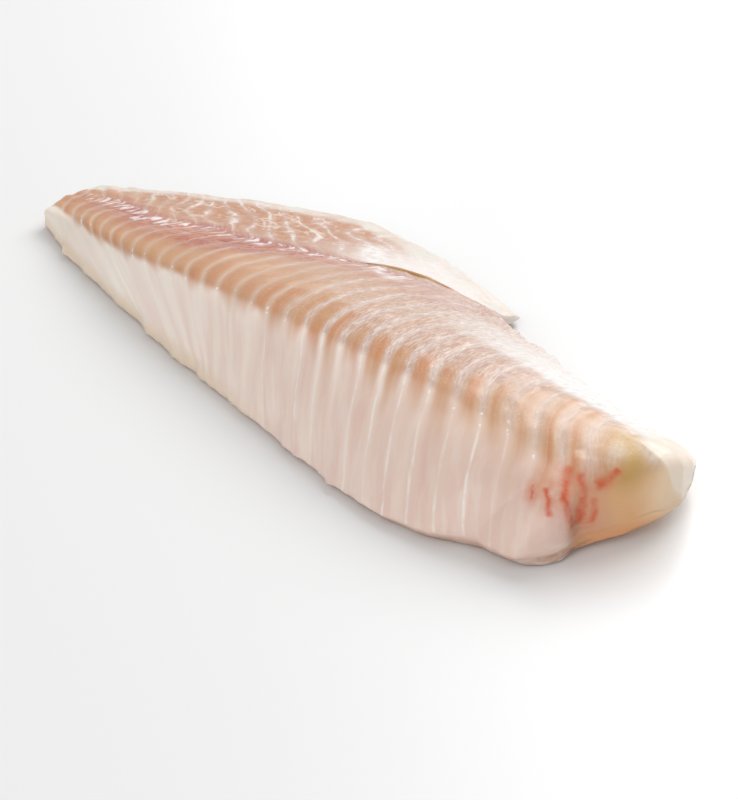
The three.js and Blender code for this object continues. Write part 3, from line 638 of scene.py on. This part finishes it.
def raw_flesh():
    """The wet flesh: region masks from the mesh, flake bands from the flake count, and noise for the rest."""
    material = bpy.data.materials.new("raw_cod_flesh")
    material.use_nodes = True
    tree = material.node_tree
    shader = tree.nodes["Principled BSDF"]
    place = add(tree, "ShaderNodeTexCoord").outputs["Object"]
    apart = add(tree, "ShaderNodeSeparateXYZ", {"Vector": place}).outputs
    x_here, y_here = apart["X"], apart["Y"]

    def read(name):
        """A value kept on the mesh."""
        kept = add(tree, "ShaderNodeAttribute", attribute_name=name, attribute_type="GEOMETRY")
        return kept.outputs["Fac"]

    def noise(vector, scale, detail=3.0, roughness=0.5):
        """Noise between 0 and 1, with scale in waves to a unit of the vector."""
        inputs = {"Vector": vector, "Scale": scale, "Detail": detail, "Roughness": roughness}
        return add(tree, "ShaderNodeTexNoise", inputs).outputs["Fac"]

    def blend(share, under_colour, over_colour):
        """The one colour under the other, mixed by the share."""
        inputs = {0: share}
        for key, colour in ((6, under_colour), (7, over_colour)):
            inputs[key] = colour if isinstance(colour, bpy.types.NodeSocket) else (*colour, 1.0)
        return add(tree, "ShaderNodeMix", inputs, data_type="RGBA").outputs[2]

    def times(*values):
        """The values multiplied together."""
        product = values[0]
        for value in values[1:]:
            product = maths(tree, "MULTIPLY", product, value)
        return product

    def plus(a, b):
        """The sum of two values."""
        return maths(tree, "ADD", a, b)

    def all_but(share):
        """What a share leaves: 1 less the share."""
        return maths(tree, "SUBTRACT", 1.0, share)

    def sway(value, amount):
        """Noise made to swing about 0: the noise less a half, times the amount."""
        return times(maths(tree, "SUBTRACT", value, 0.5), amount)

    def off_middle(count):
        """How far a flake count is from the middle of its flake: 0 in the middle, 0.5 on the edge."""
        return maths(tree, "ABSOLUTE", maths(tree, "SUBTRACT", maths(tree, "FRACT", count), 0.5))

    # A place that follows the flakes: x counts millimetres along, y millimetres over the skin side.
    flake = read("flake")
    spot = {"X": times(flake, FLAKE_PITCH), "Y": read("reach")}
    flake_place = add(tree, "ShaderNodeCombineXYZ", spot).outputs[0]

    def stretched(along_scale, reach_scale, detail, roughness):
        """Noise drawn out along the flakes' edges: waves to a millimetre along the length, and across it."""
        scale = (along_scale, reach_scale, 1.0)
        vector = add(tree, "ShaderNodeMapping", {"Vector": flake_place, "Scale": scale}).outputs[0]
        return noise(vector, 1.0, detail, roughness)

    patches = noise(place, 45.0, 4.0)
    fine = noise(place, 260.0, 4.0, 0.6)
    fibre = stretched(0.8, 0.16, 4.0, 0.6)
    streaks = stretched(0.22, 0.05, 3.0, 0.5)
    broad = stretched(0.12, 0.02, 2.0, 0.5)
    threads = stretched(1.5, 0.22, 3.0, 0.65)
    unbroken = spread(tree, stretched(0.35, 0.1, 3.0, 0.6), 0.38, 0.6)
    shards = stretched(0.42, 0.08, 2.0, 0.5)
    # Bright specks of painted highlight.
    highlight_specks = spread(tree, noise(place, 1000.0, 2.0, 0.6), 0.63, 0.73)

    # Distance from the nearest flake edge, 0 on it and 1 in the middle, wandering a little. Each edge has
    # its own luck.
    wandered = plus(flake, sway(noise(place, 32.0), 0.5))
    from_edge = all_but(times(off_middle(wandered), 2.0))
    edge_line = spread(tree, from_edge, 0.40, 0.10)
    thin_line = spread(tree, from_edge, 0.17, 0.02)
    band = spread(tree, from_edge, 0.15, 0.75)
    which = maths(tree, "FLOOR", plus(wandered, 0.5))
    luck = add(tree, "ShaderNodeTexWhiteNoise", {"W": which}, noise_dimensions="1D").outputs["Value"]

    # On the belly side a flake's edge is drawn like a long S: bent one way, then the other, by a sine.
    hang = times(maths(tree, "SINE", times(read("scallop"), 2 * np.pi)), SCALLOP_BEND)
    shaky = sway(noise(place, 75.0), 0.8)
    off_cell = off_middle(plus(plus(read("belly_flake"), hang), shaky))
    rim_line = spread(tree, off_cell, 0.34, 0.47)
    cell = spread(tree, off_cell, 0.42, 0.1)

    # The cut flank: cream at the tail, pink to rose towards the head, with a few soft pale lines.
    toward_head = spread(tree, plus(x_here, times(broad, 0.06)), -0.10, 0.11)
    cream = blend(spread(tree, x_here, -0.12, -0.075), CREAM, CREAM_PALE)
    flank_colour = blend(toward_head, cream, PINK)
    flank_colour = blend(spread(tree, x_here, 0.06, 0.15, 0.0, 0.7), flank_colour, HEAD_PINK)
    rosy = times(spread(tree, broad, 0.35, 0.65), plus(0.3, toward_head),
                 spread(tree, read("edge_height"), 34.0, 22.0, 0.4, 1.0), 0.5)
    flank_colour = blend(rosy, flank_colour, ROSE)
    streak_share = times(spread(tree, streaks, 0.45, 0.65, 0.0, 0.26),
                         spread(tree, x_here, -0.07, 0.03, 0.25, 1.0))
    flank_colour = blend(streak_share, flank_colour, FLANK_LINE)
    lucky_line = times(thin_line, spread(tree, luck, 0.1, 0.8, 0.15, 1.0),
                       spread(tree, unbroken, 0.0, 1.0, 0.35, 1.0),
                       spread(tree, x_here, -0.06, 0.03, 0.2, 1.0), spread(tree, x_here, 0.153, 0.145),
                       spread(tree, fine, 0.25, 0.6, 0.5, 1.0))
    flank_colour = blend(lucky_line, flank_colour, FLANK_LINE)

    # The top of the loin: rose with pale flake edges, and painted white threads and pale sheen towards the
    # head.
    near_nose = spread(tree, x_here, 0.07, 0.13)
    top = blend(spread(tree, fibre, 0.35, 0.65), TOP_ROSE, TOP_PALE)
    top = blend(times(spread(tree, from_edge, 0.3, 0.9), 0.3), top, BAND)
    top = blend(times(edge_line, spread(tree, unbroken, 0.0, 1.0, 0.1, 0.33)), top, TISSUE)
    top = blend(spread(tree, fine, 0.45, 0.75, 0.0, 0.35), top, TISSUE)
    # White threads of painted sheen where the top catches the light.
    thread_sheen_share = times(spread(tree, threads, 0.44, 0.64), read("shine"),
                         all_but(times(near_nose, 0.75)), 0.75)
    top = blend(thread_sheen_share, top, TISSUE_AND_SHEEN_WHITE)
    head_sheen_share = times(read("head_sheen"), spread(tree, fibre, 0.3, 0.6, 0.6, 1.0))
    top = blend(head_sheen_share, top, HEAD_SHEEN)

    # The orange on the ridge: bands between pale lines, which part into teeth below it.
    band_colour = blend(spread(tree, patches, 0.35, 0.65), BAND, BAND_DEEP)
    slim = times(near_nose, all_but(spread(tree, from_edge, 0.35, 0.9)))
    band_share = times(band, all_but(slim), spread(tree, luck, 0.0, 1.0, 0.6, 1.0))
    striped = blend(band_share, blend(near_nose, BAND_PALE, HEAD_BAND), band_colour)
    striped = blend(spread(tree, fibre, 0.45, 0.7, 0.0, 0.35), striped, BAND_PALE)
    striped = blend(times(edge_line, spread(tree, patches, 0.3, 0.6, 0.25, 0.5)), striped, BAND_LINE)
    striped = blend(times(thin_line, spread(tree, unbroken, 0.0, 1.0, 0.0, 0.14)), striped, TISSUE)
    tooth = times(spread(tree, from_edge, 0.08, 0.6), spread(tree, luck, 0.0, 1.0, 0.7, 1.0))
    parted = times(all_but(tooth), read("toothed"), all_but(times(near_nose, 0.4)))
    orange_share = times(read("orange"), all_but(parted))

    # The belly side: darker cells between white rims, fine curls of tissue, and a rim of clear membrane.
    belly_share = times(cell, spread(tree, patches, 0.3, 0.6, 0.25, 1.0))
    belly_colour = blend(belly_share, BELLY_ROSE, BELLY_BAND)
    belly_colour = blend(spread(tree, fine, 0.45, 0.8, 0.0, 0.45), belly_colour, TISSUE)
    rim_share = times(rim_line, spread(tree, fine, 0.3, 0.6, 0.2, 0.9),
                      spread(tree, noise(place, 110.0), 0.42, 0.6, 0.1, 1.0))
    belly_colour = blend(rim_share, belly_colour, TISSUE_AND_SHEEN_WHITE)
    shift = add(tree, "ShaderNodeTexNoise", {"Vector": place, "Scale": 60.0, "Detail": 2.0}).outputs["Color"]
    curled = vectors(tree, "ADD", place, scaled(tree, shift, 0.012))[0]
    curl = add(tree, "ShaderNodeTexVoronoi", {"Vector": curled, "Scale": 150.0}, feature="DISTANCE_TO_EDGE")
    curl_share = times(spread(tree, curl.outputs["Distance"], 0.13, 0.03),
                       spread(tree, noise(place, 90.0), 0.50, 0.62, 0.0, 0.55))
    belly_colour = blend(curl_share, belly_colour, TISSUE_AND_SHEEN_WHITE)
    # A painted sheen whitens the flap towards its tip.
    belly_colour = blend(times(read("flap_sheen"), 0.95), belly_colour, FLAP_SHEEN_WHITE)
    upper = blend(read("belly"), top, belly_colour)
    upper = blend(orange_share, upper, striped)
    clear = plus(read("membrane"), spread(tree, patches, 0.3, 0.65, -0.35, 0.1))
    clear = times(spread(tree, clear, 0.0, 0.95, 0.0, 0.92),
                  spread(tree, noise(place, 85.0, 4.0), 0.35, 0.6, 0.7, 1.0))
    membrane_colour = blend(spread(tree, broad, 0.4, 0.6), MEMBRANE, MEMBRANE_ROSE)
    upper = blend(clear, upper, membrane_colour)

    # The dark muscle along the side line, seen between the flakes' thin sheets, with painted strokes of
    # silver sheen.
    dark = blend(spread(tree, patches, 0.35, 0.6), DARK_MUSCLE, DARK_DEEP)
    dark_share = times(read("lateral"),
                       spread(tree, stretched(0.5, 0.06, 3.0, 0.5), 0.35, 0.58, 0.55, 1.0),
                       all_but(times(thin_line, spread(tree, unbroken, 0.0, 1.0, 0.2, 0.7))))
    upper = blend(dark_share, upper, dark)
    stroke = times(spread(tree, from_edge, 1.0, 0.65), spread(tree, shards, 0.48, 0.56),
                   spread(tree, read("silver_sheen"), 0.25, 0.75), spread(tree, fine, 0.3, 0.5, 0.4, 1.0),
                   spread(tree, noise(place, 65.0, 2.0), 0.38, 0.5, 0.3, 1.0), 0.9)
    upper = blend(stroke, upper, SILVER_SHEEN)

    # Painted highlights on the skin side: bright specks, and the wet sheets beside the slit.
    highlight_speck_share = plus(times(read("shine"), 0.35),
                       times(plus(read("belly"), read("lateral")), 0.4))
    upper = blend(times(highlight_specks, highlight_speck_share), upper, HIGHLIGHT_WHITE)
    upper = blend(times(read("slit_highlight"), spread(tree, fine, 0.3, 0.6, 0.25, 0.9)), upper, HIGHLIGHT_WHITE)

    # The skin side and the flank together. Along the tail half the flank's foot is an uneven tan.
    flank_colour = blend(orange_share, flank_colour, striped)
    colour = blend(read("flank"), upper, flank_colour)
    ragged = plus(read("edge_height"), times(patches, 7.0))
    skirt_share = times(spread(tree, ragged, 11.5, 6.0), spread(tree, x_here, 0.06, -0.02),
                        read("flank"), 0.85)
    colour = blend(skirt_share, colour, SKIRT_TAN)

    # Painted wet glints on the flakes' edges along the ridge.
    glint = times(read("ridge_glints"), thin_line, spread(tree, noise(place, 380.0, 2.0), 0.56, 0.66))
    colour = blend(times(glint, 0.85), colour, HIGHLIGHT_WHITE)

    # The nose: rose, tan and pale in turn across it, with its facet, its olive spot and its painted glow.
    y_uneven = plus(y_here, sway(patches, 0.02))
    nose_colour = blend(spread(tree, y_uneven, -0.026, -0.038), NOSE_TAN, NOSE_ROSE)
    nose_colour = blend(spread(tree, y_uneven, -0.024, -0.008), nose_colour, NOSE_PALE)
    colour = blend(read("nose"), colour, nose_colour)
    colour = blend(times(read("facet"), 0.8), colour, FACET_PALE)
    colour = blend(times(read("olive"), 0.95), colour, NOSE_OLIVE)
    colour = blend(times(read("glow"), 0.9), colour, GLOW)

    # The blood beside the nose: streaks shaken out of line by up to 2.5 mm, over a stain.
    swing = add(tree, "ShaderNodeTexNoise", {"Vector": place, "Scale": 140.0, "Detail": 3.0}).outputs["Color"]
    swing = scaled(tree, vectors(tree, "SUBTRACT", swing, (0.5, 0.5, 0.5))[0], 5.0)
    shaken = vectors(tree, "ADD", scaled(tree, place, 1000.0), swing)[0]
    group = streak_group()
    blood = 0.0
    for start, end, width in BLOOD:
        inputs = {"Point": shaken, "Start": start, "End": end, "Width": width}
        streak = add(tree, "ShaderNodeGroup", inputs, node_tree=group)
        blood = maths(tree, "MAXIMUM", blood, streak.outputs["Mask"])
    stained = times(read("stain"), spread(tree, fine, 0.3, 0.65, 0.25, 0.7))
    colour = blend(stained, colour, STAIN_ORANGE)
    bled = times(read("halo"), spread(tree, noise(place, 120.0), 0.4, 0.6, 0.15, 0.45))
    colour = blend(bled, colour, BLOOD_RED)
    colour = blend(times(blood, spread(tree, fine, 0.35, 0.6, 0.5, 0.95)), colour, BLOOD_RED)
    # Painted shade: the slit's walls and edges in brown.
    colour = blend(read("slit"), colour, SLIT_SHADE_BROWN)
    tree.links.new(colour, shader.inputs["Base Color"])

    # Wetness: glossy all over, with fine fibres and wrinkles that catch the light on the skin side, calmer
    # by the nose.
    tree.links.new(spread(tree, fine, 0.3, 0.7, 0.34, 0.50), shader.inputs["Roughness"])
    wrinkle = stretched(0.5, 0.14, 3.0, 0.6)
    grain = noise(place, 700.0, 2.0)
    lively = plus(times(all_but(read("flank")), 0.25), plus(read("shine"), read("silver_sheen")))
    calm = times(near_nose, maths(tree, "SUBTRACT", 0.8, times(read("head_sheen"), 0.6)))
    height = times(plus(wrinkle, times(grain, 0.3)), times(lively, all_but(calm)))
    height = plus(height, times(streaks, times(all_but(read("nose")), 0.18)))
    bump = add(tree, "ShaderNodeBump", {"Height": height, "Distance": 0.001, "Strength": 0.4})
    tree.links.new(bump.outputs[0], shader.inputs["Normal"])
    shader.inputs["Subsurface Weight"].default_value = 0.25
    shader.inputs["Subsurface Radius"].default_value = (1.0, 0.5, 0.3)
    shader.inputs["Subsurface Scale"].default_value = 0.004
    shader.inputs["IOR"].default_value = 1.38
    shader.inputs["Coat Weight"].default_value = 0.4
    shader.inputs["Coat Roughness"].default_value = 0.16
    shader.inputs["Coat IOR"].default_value = 1.33
    return material


cod_fillet.data.materials.append(raw_flesh())
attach(cod_fillet, "root")
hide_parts("fillet")

# ---------------------------------------------------------------------------------------------------------
# The floor.
# A level white surface, smooth and slightly glossy, that runs on past the picture on all sides. The fillet
# only lies on it, and it is set a hair lower so that the two faces don't meet.
# ---------------------------------------------------------------------------------------------------------
FLOOR_HALF, FLOOR_DROP = 4.0, 0.0002


def white_floor():
    """One flat square with a plain glossy white."""
    mesh = bpy.data.meshes.new("floor")
    corners = [(-1, -1), (1, -1), (1, 1), (-1, 1)]
    mesh.from_pydata([(x * FLOOR_HALF, y * FLOOR_HALF, -FLOOR_DROP) for x, y in corners], [], [(0, 1, 2, 3)])
    material = bpy.data.materials.new("white_floor")
    material.use_nodes = True
    shader = material.node_tree.nodes["Principled BSDF"]
    shader.inputs["Base Color"].default_value = (0.86, 0.86, 0.86, 1)
    shader.inputs["Roughness"].default_value = 0.35
    mesh.materials.append(material)
    floor = bpy.data.objects.new("floor", mesh)
    bpy.context.scene.collection.objects.link(floor)
    return floor


white_floor()

# ---------------------------------------------------------------------------------------------------------
# Light and camera.
# The main light is high behind the fillet, so the shadow falls towards the viewer's left. A wide one on the
# viewer's side fills the flank, a small one low behind the fillet, opposite the camera, adds the gloss, and
# the studio round them is an even white.
# ---------------------------------------------------------------------------------------------------------
CAMERA_TARGET = Vector((0.0425, -0.023, 0.0))
CAMERA_AZIMUTH, CAMERA_ELEVATION, CAMERA_DISTANCE = 48.0, 30.0, 0.72
FOCAL_PIXELS, FRAME_HEIGHT, SENSOR = 1954.0, 800.0, 36.0


def from_angles(azimuth, elevation):
    """The unit vector to a viewer at this azimuth, 0 at -Y and turning to +X, and elevation."""
    a, e = np.radians(azimuth), np.radians(elevation)
    return Vector((np.sin(a) * np.cos(e), -np.cos(a) * np.cos(e), np.sin(e)))


def area_light(name, azimuth, elevation, distance, size, power):
    """A round white light of this size in metres and power in watts, turned to the fillet's middle."""
    light = bpy.data.lights.new(name, "AREA")
    light.shape = "DISK"
    light.size = size
    light.energy = power
    lamp = bpy.data.objects.new(name, light)
    away = from_angles(azimuth, elevation)
    lamp.location = away * distance
    lamp.rotation_euler = away.to_track_quat("Z", "Y").to_euler()
    bpy.context.scene.collection.objects.link(lamp)


area_light("main_light", azimuth=192.0, elevation=42.0, distance=1.6, size=1.3, power=20.5)
area_light("side_light", azimuth=20.0, elevation=30.0, distance=2.0, size=1.6, power=13.0)
area_light("gloss_light", azimuth=229.0, elevation=20.0, distance=1.6, size=0.3, power=0.35)

world = bpy.data.worlds.new("studio")
world.use_nodes = True
world.node_tree.nodes["Background"].inputs["Color"].default_value = (1, 1, 1, 1)
world.node_tree.nodes["Background"].inputs["Strength"].default_value = 0.48
bpy.context.scene.world = world
bpy.context.scene.view_settings.view_transform = "Standard"

camera_data = bpy.data.cameras.new("camera")
camera_data.sensor_width = SENSOR
camera_data.lens = FOCAL_PIXELS / FRAME_HEIGHT * SENSOR
camera = bpy.data.objects.new("camera", camera_data)
view = from_angles(CAMERA_AZIMUTH, CAMERA_ELEVATION)
camera.location = CAMERA_TARGET + view * CAMERA_DISTANCE
camera.rotation_euler = view.to_track_quat("Z", "Y").to_euler()
bpy.context.scene.collection.objects.link(camera)
bpy.context.scene.camera = camera

bpy.context.view_layer.update()
